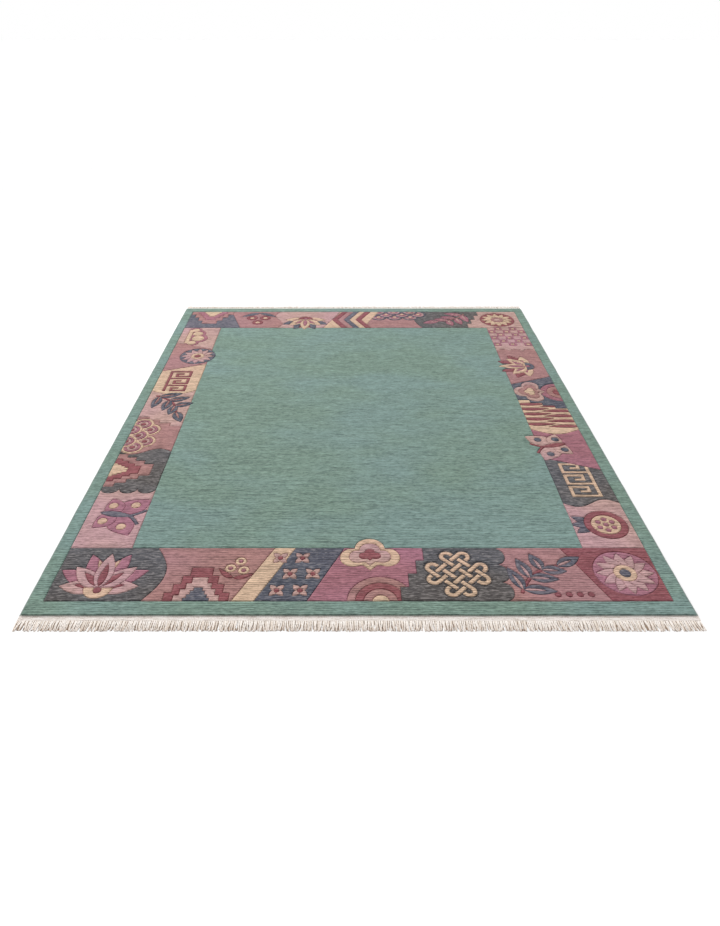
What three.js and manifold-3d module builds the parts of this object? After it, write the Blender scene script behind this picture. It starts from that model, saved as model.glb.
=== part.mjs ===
// A hand-knotted Tibetan rug, lying flat.
// Millimetres, +Z up, +X across the rug, +Y along its warp from the near end to the far end.
// The origin is at the centre of the underside, so the rug rests on z = 0.

import * as THREE from 'three';
import { mergeVertices } from 'three/addons/utils/BufferGeometryUtils.js';
import Module from 'manifold-3d';

const wasm = await Module();
wasm.setup();

// The rug's knotted size, without kilim and fringe
const RUG_WIDTH = 2500;
const RUG_LENGTH = 3000;

// Clearance between neighbouring pieces
const GAP = 0.3;

// Knotted carpet: a cotton foundation 3 mm thick under 11 mm of cut wool pile
const FOUNDATION_THICK = 3;
const PILE_HEIGHT = 11;
const PILE_EDGE_RADIUS = 5;
const CARPET_THICK = FOUNDATION_THICK + PILE_HEIGHT;

// Selvedge: the outer warps of each long side, overcast with wool into a round cord
const SELVEDGE_WIDTH = 9;
const SELVEDGE_THICK = 8;

// Kilim: the plain woven heading at each end, in rows of thick cotton weft
const KILIM_DEPTH = 22;
const KILIM_THICK = 3;
const KILIM_ROWS = 5;
const KILIM_ROW_RELIEF = 0.7;

// Fringe: the loose warp ends, in one comb whose tufts each stand for a few strands
const FRINGE_REACH = 49;
const FRINGE_THICK = 3;
const FRINGE_ROOT = 6;
const TUFTS = 120;
const TUFT_ROOT_SHARE = 0.84;
const TUFT_TIP_SHARE = 0.58;
const TUFT_SHORTEST = 0.8;
const TUFT_LEAN = 3.5;

// Turn of the waves that make the tufts lean and vary in length, in radians from tuft to tuft
const LEAN_TURN = 2.4;
const LENGTH_TURN = 5.1;

// Steps of an arc, from one end of it to the other
const ARC_STEPS = 5;

// Length by which each of the carpet's two sections runs past the other where they cross
const OVERRUN = 1;

const materials = {
  pile: new THREE.MeshStandardMaterial({ color: 0x81968e, roughness: 0.95, metalness: 0 }),
  selvedge: new THREE.MeshStandardMaterial({ color: 0x7f8a84, roughness: 0.92, metalness: 0 }),
  kilim: new THREE.MeshStandardMaterial({ color: 0xd5cdc9, roughness: 0.9, metalness: 0 }),
  fringe: new THREE.MeshStandardMaterial({ color: 0xd5c9bf, roughness: 0.85, metalness: 0 }),
};

function piece(name, geometry, material) {
  const mesh = new THREE.Mesh(geometry, material);
  mesh.name = name;
  return mesh;
}

// A geometry's closed surface as a solid
function solidOf(geometry) {
  const bare = geometry.clone();
  bare.deleteAttribute('normal');
  bare.deleteAttribute('uv');
  const merged = mergeVertices(bare);
  return new wasm.Manifold(new wasm.Mesh({
    numProp: 3,
    vertProperties: Float32Array.from(merged.attributes.position.array),
    triVerts: Uint32Array.from(merged.index.array),
  }));
}

function geometryOf(solid) {
  const { vertProperties, triVerts } = solid.getMesh();
  const geometry = new THREE.BufferGeometry();
  geometry.setAttribute('position', new THREE.BufferAttribute(vertProperties, 3));
  geometry.setIndex(new THREE.BufferAttribute(triVerts, 1));
  geometry.computeVertexNormals();
  return geometry;
}

// A section drawn across the rug (x) and up (y), run along Y and centred
function runAlongY(section, length) {
  const geometry = new THREE.ExtrudeGeometry(section, {
    depth: length,
    bevelEnabled: false,
    curveSegments: ARC_STEPS,
  });
  geometry.translate(0, 0, -length / 2);
  geometry.rotateX(Math.PI / 2);
  return geometry;
}

// A slab's section, flat below and with both upper corners rounded
function slabSection(width, thick, radius) {
  const half = width / 2;
  const section = new THREE.Shape();
  section.moveTo(-half, 0);
  section.lineTo(half, 0);
  section.lineTo(half, thick - radius);
  section.absarc(half - radius, thick - radius, radius, 0, Math.PI / 2);
  section.lineTo(radius - half, thick);
  section.absarc(radius - half, thick - radius, radius, Math.PI / 2, Math.PI);
  return section;
}

// The carpet keeps its flat top up to the edges, where the pile rounds over on all four sides
function carpet() {
  const width = RUG_WIDTH - 2 * (SELVEDGE_WIDTH + GAP);
  const along = runAlongY(slabSection(width, CARPET_THICK, PILE_EDGE_RADIUS), RUG_LENGTH + OVERRUN);
  const across = runAlongY(slabSection(RUG_LENGTH, CARPET_THICK, PILE_EDGE_RADIUS), width + OVERRUN);
  across.rotateZ(Math.PI / 2);
  const solid = solidOf(along).intersect(solidOf(across));
  return piece('pile_carpet', geometryOf(solid), materials.pile);
}

// A cord with a round top, straight sides and a flat underside to lie on
function selvedge(name, side) {
  const half = SELVEDGE_WIDTH / 2;
  const section = new THREE.Shape();
  section.moveTo(-half, 0);
  section.lineTo(half, 0);
  section.lineTo(half, SELVEDGE_THICK - half);
  section.absarc(0, SELVEDGE_THICK - half, half, 0, Math.PI);
  const mesh = piece(name, runAlongY(section, RUG_LENGTH), materials.selvedge);
  mesh.position.x = side * (RUG_WIDTH - SELVEDGE_WIDTH) / 2;
  return mesh;
}

// A band with a flat underside and one low round ridge for each row of weft
function kilim(name, end) {
  const depth = KILIM_DEPTH - GAP;
  const row = depth / KILIM_ROWS;
  const valley = KILIM_THICK - KILIM_ROW_RELIEF;
  const section = new THREE.Shape();
  section.moveTo(-depth / 2, 0);
  section.lineTo(depth / 2, 0);
  section.lineTo(depth / 2, valley);
  for (let i = 0; i < KILIM_ROWS; i += 1) {
    const from = depth / 2 - i * row;
    section.quadraticCurveTo(from - row / 2, valley + 2 * KILIM_ROW_RELIEF, from - row, valley);
  }
  const geometry = runAlongY(section, RUG_WIDTH);
  geometry.rotateZ(Math.PI / 2);
  const mesh = piece(name, geometry, materials.kilim);
  mesh.position.y = end * (RUG_LENGTH / 2 + GAP + depth / 2);
  return mesh;
}

// A comb that runs from y = 0 towards +Y, its tufts of uneven length and lean
function fringeOutline(phase) {
  const reach = FRINGE_REACH - GAP;
  const pitch = RUG_WIDTH / TUFTS;
  const rootHalf = TUFT_ROOT_SHARE * pitch / 2;
  const tipHalf = TUFT_TIP_SHARE * pitch / 2;
  const outline = new THREE.Shape();
  outline.moveTo(RUG_WIDTH / 2, 0);
  outline.lineTo(RUG_WIDTH / 2, FRINGE_ROOT);
  for (let i = TUFTS - 1; i >= 0; i -= 1) {
    const root = (i + 0.5) * pitch - RUG_WIDTH / 2;
    const tip = root + TUFT_LEAN * Math.sin(LEAN_TURN * i + phase);
    const wave = Math.sin(LENGTH_TURN * i + 2 * phase);
    const length = reach * (1 - (1 - TUFT_SHORTEST) * (1 + wave) / 2);
    outline.lineTo(root + rootHalf, FRINGE_ROOT);
    outline.lineTo(tip + tipHalf, length);
    outline.lineTo(tip - tipHalf, length);
    outline.lineTo(root - rootHalf, FRINGE_ROOT);
  }
  outline.lineTo(-RUG_WIDTH / 2, FRINGE_ROOT);
  outline.lineTo(-RUG_WIDTH / 2, 0);
  return outline;
}

function fringe(name, end, phase) {
  const geometry = new THREE.ExtrudeGeometry(fringeOutline(phase), {
    depth: FRINGE_THICK,
    bevelEnabled: false,
  });
  if (end < 0) {
    geometry.rotateZ(Math.PI);
  }
  const mesh = piece(name, geometry, materials.fringe);
  mesh.position.y = end * (RUG_LENGTH / 2 + KILIM_DEPTH + GAP);
  return mesh;
}

const rug = new THREE.Group();
rug.add(
  carpet(),
  selvedge('selvedge_left', -1),
  selvedge('selvedge_right', 1),
  kilim('kilim_near', -1),
  kilim('kilim_far', 1),
  fringe('fringe_near', -1, 0.6),
  fringe('fringe_far', 1, 2.1),
);

export default rug;
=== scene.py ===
import math
import random
from collections import Counter, namedtuple

import bmesh
import bpy
from bpy.props import FloatProperty, FloatVectorProperty, IntProperty, PointerProperty
from bpy.types import Operator, Panel as SidebarPanel, PropertyGroup
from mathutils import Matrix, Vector, noise
from mathutils.geometry import delaunay_2d_cdt
from mathutils.kdtree import KDTree


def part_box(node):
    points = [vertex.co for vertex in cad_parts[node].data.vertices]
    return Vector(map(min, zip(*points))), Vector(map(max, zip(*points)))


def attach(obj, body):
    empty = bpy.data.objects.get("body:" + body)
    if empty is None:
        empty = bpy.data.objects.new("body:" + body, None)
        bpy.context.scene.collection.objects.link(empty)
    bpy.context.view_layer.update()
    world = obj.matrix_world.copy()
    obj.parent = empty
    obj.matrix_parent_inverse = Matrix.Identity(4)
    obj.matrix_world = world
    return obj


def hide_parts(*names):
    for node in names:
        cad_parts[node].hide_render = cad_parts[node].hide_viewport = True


bl_info = {
    "name": "Tibetan rug",
    "version": (1, 0, 0),
    "blender": (4, 5, 0),
    "location": "3D View > Sidebar > Rug",
    "description": "Knots, carves and finishes a hand-knotted wool rug with a fringe",
    "category": "Object",
}

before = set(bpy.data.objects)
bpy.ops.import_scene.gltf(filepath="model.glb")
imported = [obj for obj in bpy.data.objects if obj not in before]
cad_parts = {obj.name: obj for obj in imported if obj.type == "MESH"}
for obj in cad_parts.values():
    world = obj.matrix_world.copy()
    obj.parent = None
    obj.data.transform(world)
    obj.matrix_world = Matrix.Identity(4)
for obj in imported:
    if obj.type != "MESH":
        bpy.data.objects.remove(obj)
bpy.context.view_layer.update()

# Lengths below are in millimetres, and a mesh is made in metres
MM = 0.001


def node_box(node):
    """The lowest and highest corners of a CAD node, in millimetres."""
    return [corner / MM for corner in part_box(node)]


CARPET_HALF_WIDTH, RUG_HALF_LENGTH, PILE_TOP = node_box("pile_carpet")[1]
RUG_HALF_WIDTH = node_box("selvedge_right")[1].x
FRINGE_ROOT, FRINGE_TIP = (corner.y for corner in node_box("fringe_far"))
FOUNDATION_THICK = 3.0
CLEARANCE = 0.3
KILIM_ROWS = 5

# The foundation is a hair smaller than the pile, so that their sides don't lie on each other
FOUNDATION_SHARES = (0.9992, 0.9995)

# No point of the kilim or the fringe is nearer to the floor than this
LOWEST = 0.1

# The plan: a plain outer band, then a band of motif panels, then the plain field
PLAIN_BAND = 65.0
SIDE_BAND = 255.0
END_BAND = 295.0
INNER_X = RUG_HALF_WIDTH - PLAIN_BAND
INNER_Y = RUG_HALF_LENGTH - PLAIN_BAND
FIELD_X = INNER_X - SIDE_BAND
FIELD_Y = INNER_Y - END_BAND

# Spacing of the points along an outline and along a straight edge
OUTLINE_STEP = 7.0
EDGE_STEP = 14.0

# How far a panel's ground runs on under its neighbours, so that no two edges lie on each other
UNDERLAP = 12.0

Shape = namedtuple("Shape", "dye outline mark", defaults=(0,))
Motif = namedtuple("Motif", "shapes along across size turn over", defaults=(1.0, 0, False))
Panel = namedtuple("Panel", "start join swing dye motifs")
Region = namedtuple("Region", "dye mark piece outline")


# Outlines

def arc(x, y, radius, start, end):
    """Points of an arc about (x, y), its angles in degrees."""
    steps = max(4, round(abs(math.radians(end - start)) * radius / OUTLINE_STEP))
    angles = [math.radians(start + (end - start) * i / steps) for i in range(steps + 1)]
    return [(x + radius * math.cos(a), y + radius * math.sin(a)) for a in angles]


def disc(x, y, radius):
    return arc(x, y, radius, 0, 360)[:-1]


def rectangle(low_x, low_y, high_x, high_y):
    return [(low_x, low_y), (high_x, low_y), (high_x, high_y), (low_x, high_y)]


def square(x, y, side):
    half = side / 2
    return rectangle(x - half, y - half, x + half, y + half)


def leaf(x, y, length, width, turn, bend=0.0):
    """A pointed leaf or petal that starts at (x, y), its tip bent sideways."""
    steps = max(6, round(length / OUTLINE_STEP))
    ts = [i / steps for i in range(steps + 1)]
    half_widths = [width / 2 * math.sin(math.pi * t ** 0.8) ** 0.9 for t in ts]
    spine = [(length * t, bend * length * t * t) for t in ts]
    upper = [(px, py + half) for (px, py), half in zip(spine, half_widths)]
    lower = [(px, py - half) for (px, py), half in zip(spine, half_widths)]
    return moved(upper + lower[-2:0:-1], x, y, turn)


def stroke(path, width):
    """A band of even width along a path, with square ends."""
    left, right = [], []
    for before, (x, y), after in zip(path[:1] + path, path, path[1:] + path[-1:]):
        inward = Vector((x - before[0], y - before[1])).normalized()
        onward = Vector((after[0] - x, after[1] - y)).normalized()
        along = (inward + onward).normalized()
        # At a turn the step sideways is longer, which keeps the sides parallel to the path
        lean = max((onward if onward.length else inward).dot(along), 0.5)
        dx, dy = width / 2 * (-along.y / lean), width / 2 * (along.x / lean)
        left.append((x + dx, y + dy))
        right.append((x - dx, y - dy))
    return right + left[::-1]


def moved(outline, x=0.0, y=0.0, turn=0.0, size=1.0):
    """An outline scaled, turned by degrees and moved."""
    c, s = size * math.cos(math.radians(turn)), size * math.sin(math.radians(turn))
    return [(x + px * c - py * s, y + px * s + py * c) for px, py in outline]


def divided(outline):
    """An outline with points added, so that no side is longer than the step of an edge."""
    points = []
    for (ax, ay), (bx, by) in zip(outline, outline[1:] + outline[:1]):
        pieces = max(1, math.ceil(math.dist((ax, ay), (bx, by)) / EDGE_STEP))
        points += [(ax + (bx - ax) * i / pieces, ay + (by - ay) * i / pieces) for i in range(pieces)]
    return points


# Motifs, each drawn about its own middle or foot. A shape is its dye, its outline and a mark:
# shapes of one dye and one mark run together without a cut between them.

def lotus(back, front, heart, cup):
    """A lotus in side view: a fan of pointed petals on a cup."""
    for i, turn in enumerate((27, 153, 66, 114)):
        yield back, leaf(0, 0, 152, 66, turn), i
        yield cup, leaf(0, 40, 84, 20, turn)
    for i, (turn, length) in enumerate(((4, 122), (176, 122), (44, 132), (136, 132), (90, 152))):
        yield front, leaf(0, -8, length, 58, turn), i
        yield heart, leaf(0, 0, length * 0.64, 24, turn)
    yield cup, arc(0, -6, 44, 180, 360)
    yield heart, disc(0, -16, 13)


def rosette(rim, petal, heart, dot):
    """A chrysanthemum: a ring of twelve long petals about a button."""
    yield rim, disc(0, 0, 98)
    for i in range(12):
        yield petal, leaf(0, 0, 92, 40, 30 * i), i % 2
    yield heart, disc(0, 0, 36)
    yield dot, disc(0, 0, 18)


def cloud(edge, body, heart):
    """A trefoil cloud head with a pointed foot, and the same outline inside it twice."""
    outline = [(0, -64), (24, -38)] + arc(58, 0, 44, -112, 76) + arc(0, 42, 52, 0, 180)
    outline += arc(-58, 0, 44, 104, 292) + [(-24, -38)]
    yield edge, outline
    yield body, moved(outline, 0, 4, size=0.7)
    yield heart, moved(outline, 0, 8, size=0.36)


def cloud_bank(edge, body):
    """A long cloud: round heads above a flat foot."""
    for dye, size in ((edge, 1.0), (body, 0.64)):
        for x, y, radius in ((-98, 0, 38), (-44, 22, 50), (26, 34, 60), (90, 6, 44)):
            yield dye, disc(x, y, radius * size)
        yield dye, stroke([(-104, -38 + 20 * size), (98, -38 + 20 * size)], 40 * size)


def waves(dyes, columns, rows, radius):
    """Rows of waves, each a stack of discs half hidden by the row in front."""
    for row in range(rows, -1, -1):
        for column in range(columns + row % 2):
            x = (2 * column - columns + 1 - row % 2) * radius
            for i, dye in enumerate(dyes):
                yield dye, disc(x, row * radius * 0.86, radius * (1 - i / len(dyes))), row % 2


def peaks(dyes):
    """A stepped mountain, with smaller ones inside it."""
    steps = 4
    for i, dye in enumerate(dyes):
        rise, tread = 50 - 15 * i, 30 - 9 * i
        half = [(tread * (steps - j + 0.6), rise * (j + k)) for j in range(steps) for k in (0, 1)]
        yield dye, half + [(-x, y) for x, y in half[::-1]]


def knot(cord, ground):
    """A woven knot: four long loops that pass over and under each other."""
    near, far, reach, width, margin = 24, 66, 112, 18, 10
    half = (far - near) / 2
    for upright in (False, True):
        for middle in (-(near + far) / 2, (near + far) / 2):
            for side in (-1, 1):
                path = [(0, middle - half)] + arc(reach - half, middle, half, -90, 90) + [(0, middle + half)]
                path = [(y, side * x) if upright else (side * x, y) for x, y in path]
                yield ground, stroke(path, width + margin)
                yield cord, stroke(path, width)
    lines, span = (-far, -near, near, far), (width + margin) / 2
    for i, y in enumerate(lines):
        for x in lines[i % 2::2]:
            yield ground, stroke([(x - span, y), (x + span, y)], width + margin)
            yield cord, stroke([(x - span - 1, y), (x + span + 1, y)], width)


def fret(line):
    """A running key fret: a ground line with one square hook after another."""
    hooks, pitch, height, width = 3, 84, 112, 15
    yield line, stroke([(-width / 2, 0), ((hooks - 0.28) * pitch + width / 2, 0)], width)
    turns = ((0, 0), (0, 1), (0.72, 1), (0.72, 0.34), (0.36, 0.34), (0.36, 0.68))
    for i in range(hooks):
        yield line, stroke([((i + u) * pitch, v * height) for u, v in turns], width)


def spray(stem, blade, vein):
    """A curved stem with pairs of leaves and one at its tip."""
    def spine(t):
        return 230 * t, 34 * math.sin(math.pi * t)

    yield stem, stroke([spine(i / 24) for i in range(25)], 13)
    pairs = 3
    for i in range(pairs):
        x, y = spine((i + 0.3) / pairs * 0.88)
        for side in (-1, 1):
            size, turn, bend = 122 - 14 * i, side * 50 + 12, 0.12 * side
            yield blade, leaf(x, y, size, 50, turn, bend), i
            yield vein, leaf(x, y, size * 0.7, 13, turn, bend)
    yield blade, leaf(*spine(0.95), 108, 52, -14), pairs
    yield vein, leaf(*spine(0.95), 70, 13, -14)


def pomegranate(skin, flesh, seed, crown):
    """A ripe fruit, open at the front, with its crown."""
    for turn in (58, 122, 90):
        yield crown, leaf(0, 40, 84, 38, turn), turn
    yield skin, disc(0, 0, 74)
    yield flesh, disc(0, 0, 50)
    for y, count in ((-24, 2), (0, 3), (24, 2)):
        for i in range(count):
            yield seed, disc((2 * i - count + 1) * 14, y, 10)


def butterfly(wing, spot, body):
    """A butterfly with spread wings."""
    for side in (-1, 1):
        for reach, width, turn in ((132, 92, 36), (98, 72, -38)):
            angle = turn if side > 0 else 180 - turn
            yield wing, leaf(0, 0, reach, width, angle, 0.1 * side), turn
            yield spot, disc(*moved([(reach * 0.56, 0)], turn=angle)[0], 17)
        feeler = [(side * 40 * t ** 1.4, 44 + 50 * t) for t in (0, 0.25, 0.5, 0.75, 1)]
        yield body, stroke(feeler, 12)
    yield body, leaf(0, -64, 128, 30, 90)


def flames(dye):
    """Tiger stripes: slender flames that reach in from both sides of a side band."""
    pitch, length = 54, SIDE_BAND * 0.68
    for i in range(5):
        yield dye, leaf(i * pitch, -20, length, 32, 84, 0.12)
        yield dye, leaf(i * pitch + pitch / 2, SIDE_BAND + 20, length, 32, -96, 0.12)


def jewels(gem, heart, flame):
    """Three discs in a group over a pair of flames."""
    for x, y in ((0, 36), (-36, -26), (36, -26)):
        yield gem, disc(x, y, 30)
        yield heart, disc(x, y, 13)
    for side in (-1, 1):
        yield flame, leaf(0, -92, 108, 32, 90 - 76 * side, 0.26 * side)


def pearls(dye, count):
    """A row of dots."""
    for i in range(count):
        yield dye, disc(i * 42, 0, 13)


def chevrons(dyes, count, pitch):
    """Arrow stripes, right across an end band."""
    for i in range(count):
        edge = [(i * pitch, -1), (i * pitch + 70, END_BAND / 2), (i * pitch, END_BAND + 1)]
        yield dyes[i % len(dyes)], edge + [(x + pitch, y) for x, y in edge[::-1]]


def checks(dye, heart, columns, rows, cell):
    """A checkerboard, with a small square in each check."""
    for i in range(columns):
        for j in range(i % 2, rows, 2):
            x, y = (i + 0.5) * cell, (j + 0.5) * cell
            yield dye, square(x, y, cell)
            yield heart, square(x, y, cell * 0.42)


def florets(petal, heart, columns, rows, pitch):
    """Small four-petalled flowers in offset rows."""
    for row in range(rows):
        for column in range(columns):
            x, y = (column + 0.5 * (row % 2)) * pitch, row * pitch
            for turn in (45, 135, 225, 315):
                yield petal, leaf(x, y, 40, 26, turn), turn
            yield heart, disc(x, y, 11)


def hills(dyes, radius):
    """Round hills, one inside the other."""
    for i, dye in enumerate(dyes):
        yield dye, arc(0, 0, radius * (1 - i / len(dyes)), 0, 180)


# Joins. Each is the line where one panel's ground gives way to the next, from the outer edge in.

def slant(depth, swing):
    return [(-swing, 0), (swing, depth)]


def bow(depth, swing, half_turns=1, steps=18):
    turn = half_turns * math.pi
    return [(swing * math.sin(turn * i / steps), depth * i / steps) for i in range(steps + 1)]


def sway(depth, swing):
    return bow(depth, swing, 2, 24)


def stairs(depth, swing):
    steps = 4
    xs = [swing * (2 * i / (steps - 1) - 1) for i in range(steps)]
    return [(x, depth * (i + k) / steps) for i, x in enumerate(xs) for k in (0, 1)]


def heads(depth, swing):
    """Three cloud heads side by side."""
    count = 3
    radius = depth / count / 2
    line = [p for i in range(count) for p in arc(0, (2 * i + 1) * radius, radius, -90, 90)[:-1]]
    return [(swing / radius * x, y) for x, y in line] + [(0, depth)]


def panel(start, join, swing, dye, *motifs):
    """A panel of the border. A motif is its shapes, its place, and its size, turn and layer."""
    motifs = [Motif([Shape(*shape) for shape in shapes], *place) for shapes, *place in motifs]
    return Panel(start, join, swing, dye, motifs)


# The motif band, strip by strip. A panel's start and its motifs' places along the strip are
# measured from the strip's left end as seen from outside the rug, and across from the outer edge.
STRIPS = {
    "near": (
        panel(0, slant, 0, "charcoal", (lotus("plum", "pink", "wine", "cream"), 185, 78, 1.28)),
        panel(365, bow, 62, "rose", (peaks(("wine", "pink", "slate")), 205, -1, 0.9),
              (jewels("cream", "plum", "wine"), 345, 190, 0.75, -12)),
        panel(775, slant, 70, "cream"),
        panel(860, slant, 70, "slate", (florets("pink", "wine", 2, 3, 90), 12, 56)),
        panel(1060, slant, 70, "plum", (hills(("rose", "wine", "rose", "cream"), 128), 210, -1),
              (cloud("cream", "pink", "wine"), 175, 240, 1.2, 0, True)),
        panel(1400, stairs, 52, "charcoal", (knot("cream", "charcoal"), 178, 148, 1.0, 45)),
        panel(1740, heads, 42, "rose", (spray("wine", "slate", "pink"), 70, 40, 1.05, 40, True),
              (pearls("wine", 4), 205, 34)),
        panel(2080, slant, -62, "wine", (rosette("plum", "pink", "cream", "slate"), 160, 150, 1.25)),
    ),
    "far": (
        panel(0, slant, 0, "pink", (rosette("wine", "cream", "rose", "pink"), 155, 150, 1.25)),
        panel(330, stairs, 50, "charcoal", (spray("rose", "plum", "pink"), 50, 40, 1.1, 32, True)),
        panel(700, bow, 50, "rose", (waves(("slate", "pink", "plum", "cream"), 3, 2, 58), 190, 0)),
        panel(1060, slant, 60, "cream", (chevrons(("wine", "cream", "slate", "rose"), 6, 42), 0, 0)),
        panel(1340, slant, 60, "pink", (lotus("slate", "cream", "plum", "wine"), 190, 150, 1.2, 0, True)),
        panel(1720, sway, 30, "rose", (jewels("wine", "cream", "slate"), 150, 150, 1.3)),
        panel(2030, slant, -50, "slate", (peaks(("rose", "plum", "cream")), 185, -1, 1.1)),
    ),
    "right": (
        panel(0, slant, 0, "pink", (pomegranate("wine", "cream", "plum", "slate"), 150, 110, 1.25)),
        panel(300, sway, 26, "charcoal", (fret("cream"), 54, 66, 1.1)),
        panel(610, slant, 50, "plum", (butterfly("pink", "slate", "wine"), 165, 178, 1.15, 14, True)),
        panel(930, bow, -46, "cream", (flames("wine"), 30, 0)),
        panel(1200, stairs, 48, "slate", (hills(("plum", "rose", "wine"), 105), 140, -1),
              (cloud("pink", "rose", "cream"), 150, 150, 1.15)),
        panel(1490, slant, -50, "rose", (lotus("wine", "cream", "plum", "slate"), 190, 120, 1.15, 0, True)),
        panel(1890, heads, 38, "pink", (checks("plum", "cream", 6, 5, 51), 92, 0)),
    ),
    "left": (
        panel(0, slant, 0, "pink", (cloud_bank("plum", "cream"), 150, 90, 1.1)),
        panel(300, slant, 50, "rose", (rosette("slate", "pink", "cream", "wine"), 155, 178, 1.15, 0, True)),
        panel(620, slant, -50, "cream", (fret("wine"), 58, 66, 1.05)),
        panel(920, bow, 46, "pink", (spray("wine", "slate", "rose"), 60, 40, 1.1, 38, True)),
        panel(1270, stairs, 48, "rose", (waves(("cream", "plum", "pink", "wine"), 2, 2, 56), 140, 0)),
        panel(1560, sway, 26, "charcoal", (peaks(("rose", "wine", "cream")), 160, -1, 0.98)),
        panel(1870, heads, 38, "pink", (butterfly("plum", "cream", "slate"), 190, 128, 1.25, -10)),
    ),
}

# Where each strip starts, the way it runs, its length and its depth
Run = namedtuple("Run", "x y turn length depth")
RUNS = {
    "near": Run(-INNER_X, -INNER_Y, 0, 2 * INNER_X, END_BAND),
    "far": Run(INNER_X, INNER_Y, 180, 2 * INNER_X, END_BAND),
    "right": Run(INNER_X, -FIELD_Y, 90, 2 * FIELD_Y, SIDE_BAND),
    "left": Run(-INNER_X, FIELD_Y, 270, 2 * FIELD_Y, SIDE_BAND),
}


def ground_of(part, run):
    """A panel's ground: all of its strip from its join on."""
    join = part.join(run.depth, part.swing)
    join = [(join[0][0], -UNDERLAP)] + join + [(join[-1][0], run.depth + UNDERLAP)]
    line = [(x + part.start, y) for x, y in join]
    return line[::-1] + [(run.length, -UNDERLAP), (run.length, run.depth + UNDERLAP)]


def rug_regions():
    """Every region of the rug's face in painter's order; a later one covers those before it."""
    def plain(name, *corners):
        return Region("sea_green", name, name, divided(rectangle(*corners)))

    wide, long = CARPET_HALF_WIDTH, RUG_HALF_LENGTH
    regions, over = [plain("band", -wide, -long, wide, long)], []
    for strip, parts in STRIPS.items():
        run = RUNS[strip]
        for p, part in enumerate(parts):
            ground = moved(ground_of(part, run), run.x, run.y, run.turn)
            regions.append(Region(part.dye, (strip, p), strip, divided(ground)))
            for m, motif in enumerate(part.motifs):
                place = part.start + motif.along, motif.across, motif.turn, motif.size
                layer = over if motif.over else regions
                for shape in motif.shapes:
                    outline = moved(moved(shape.outline, *place), run.x, run.y, run.turn)
                    layer.append(Region(shape.dye, (strip, p, m, shape.mark), strip, divided(outline)))
    return regions + [
        plain("field", -FIELD_X, -FIELD_Y, FIELD_X, FIELD_Y),
        plain("band", -wide, -long, wide, -INNER_Y), plain("band", -wide, INNER_Y, wide, long),
        plain("band", -wide, -long, -INNER_X, long), plain("band", INNER_X, -long, wide, long),
    ] + over


# Carving. The plan's outlines are cut into each other, hidden stretches are dropped, and the
# pile is meshed between the cuts that are left.

# A line between two points of the plan, and the numbers of the regions on its two sides
Cut = namedtuple("Cut", "start end left right")

# Points nearer than this are one point, in millimetres
MERGE = 0.01

# A region that is smaller or narrower than the shears could carve goes to its neighbour
LEAST_AREA = 160.0
LEAST_BREADTH = 2.2

# The shortest step along a cut, and the turn past which a point is a corner, in radians
LEAST_STEP = 4.0
CORNER_TURN = 0.6

# Spacing of the samples along a cut by which the nearest cut is found
SAMPLE_STEP = 2.5

# The relief's rows along a cut, as shares of its width, and how much of that has to be free
SHOULDERS = (0.28, 1.0)
FREE_SHARE = 0.88

# The rug's own edge is clipped off at a slant, this much as deep as a cut
RIM_SHARE = 0.2

# Points of the open pile: close together up the rug, where the rows of knots make the relief.
# Each is a little out of its row and column, and clear of the cuts.
ROW_STEP = 8.0
COLUMN_STEP = 22.0
ROW_PLAY = 1.5
COLUMN_PLAY = 5
CLEAR_OF_CUTS = 3

# The pile's own unevenness, as lengths across and up the rug and a height: wide swells, and rows
# of knots that stand a little proud
SWELLS = (130, 130, 0.55)
PROUD_ROWS = (60, 13, 0.25)

# How far the loom and the finisher are out, and over what length
DRIFT = 1.2
DRIFT_LENGTH = 85


def inside(x, y, outline):
    """Whether a point lies in an outline, which may cross itself."""
    winding = 0
    for (ax, ay), (bx, by) in zip(outline, outline[1:] + outline[:1]):
        if (ay > y) != (by > y) and x < ax + (y - ay) * (bx - ax) / (by - ay):
            winding += 1 if by > ay else -1
    return winding != 0


def boxed(outline):
    xs, ys = zip(*outline)
    return min(xs), min(ys), max(xs), max(ys)


def sides(triangle):
    a, b, c = triangle
    return (a, b), (b, c), (c, a)


def triangle_beside(triangles):
    """The triangle to the left of each side, sides being pairs of points."""
    return {side: t for t, triangle in enumerate(triangles) for side in sides(triangle)}


def spread(triangles, beside, parted):
    """The groups of triangles that are joined across sides where parted(side) is false."""
    groups, seen = [], set()
    for first in range(len(triangles)):
        if first not in seen:
            seen.add(first)
            group = [first]
            for t in group:
                for a, b in sides(triangles[t]):
                    other = beside.get((b, a), t)
                    if other not in seen and not parted((a, b)):
                        seen.add(other)
                        group.append(other)
            groups.append(sorted(group))
    return groups


def area_of(points, triangle):
    a, b, c = (points[i] for i in triangle)
    return abs((b - a).cross(c - a)) / 2


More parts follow.
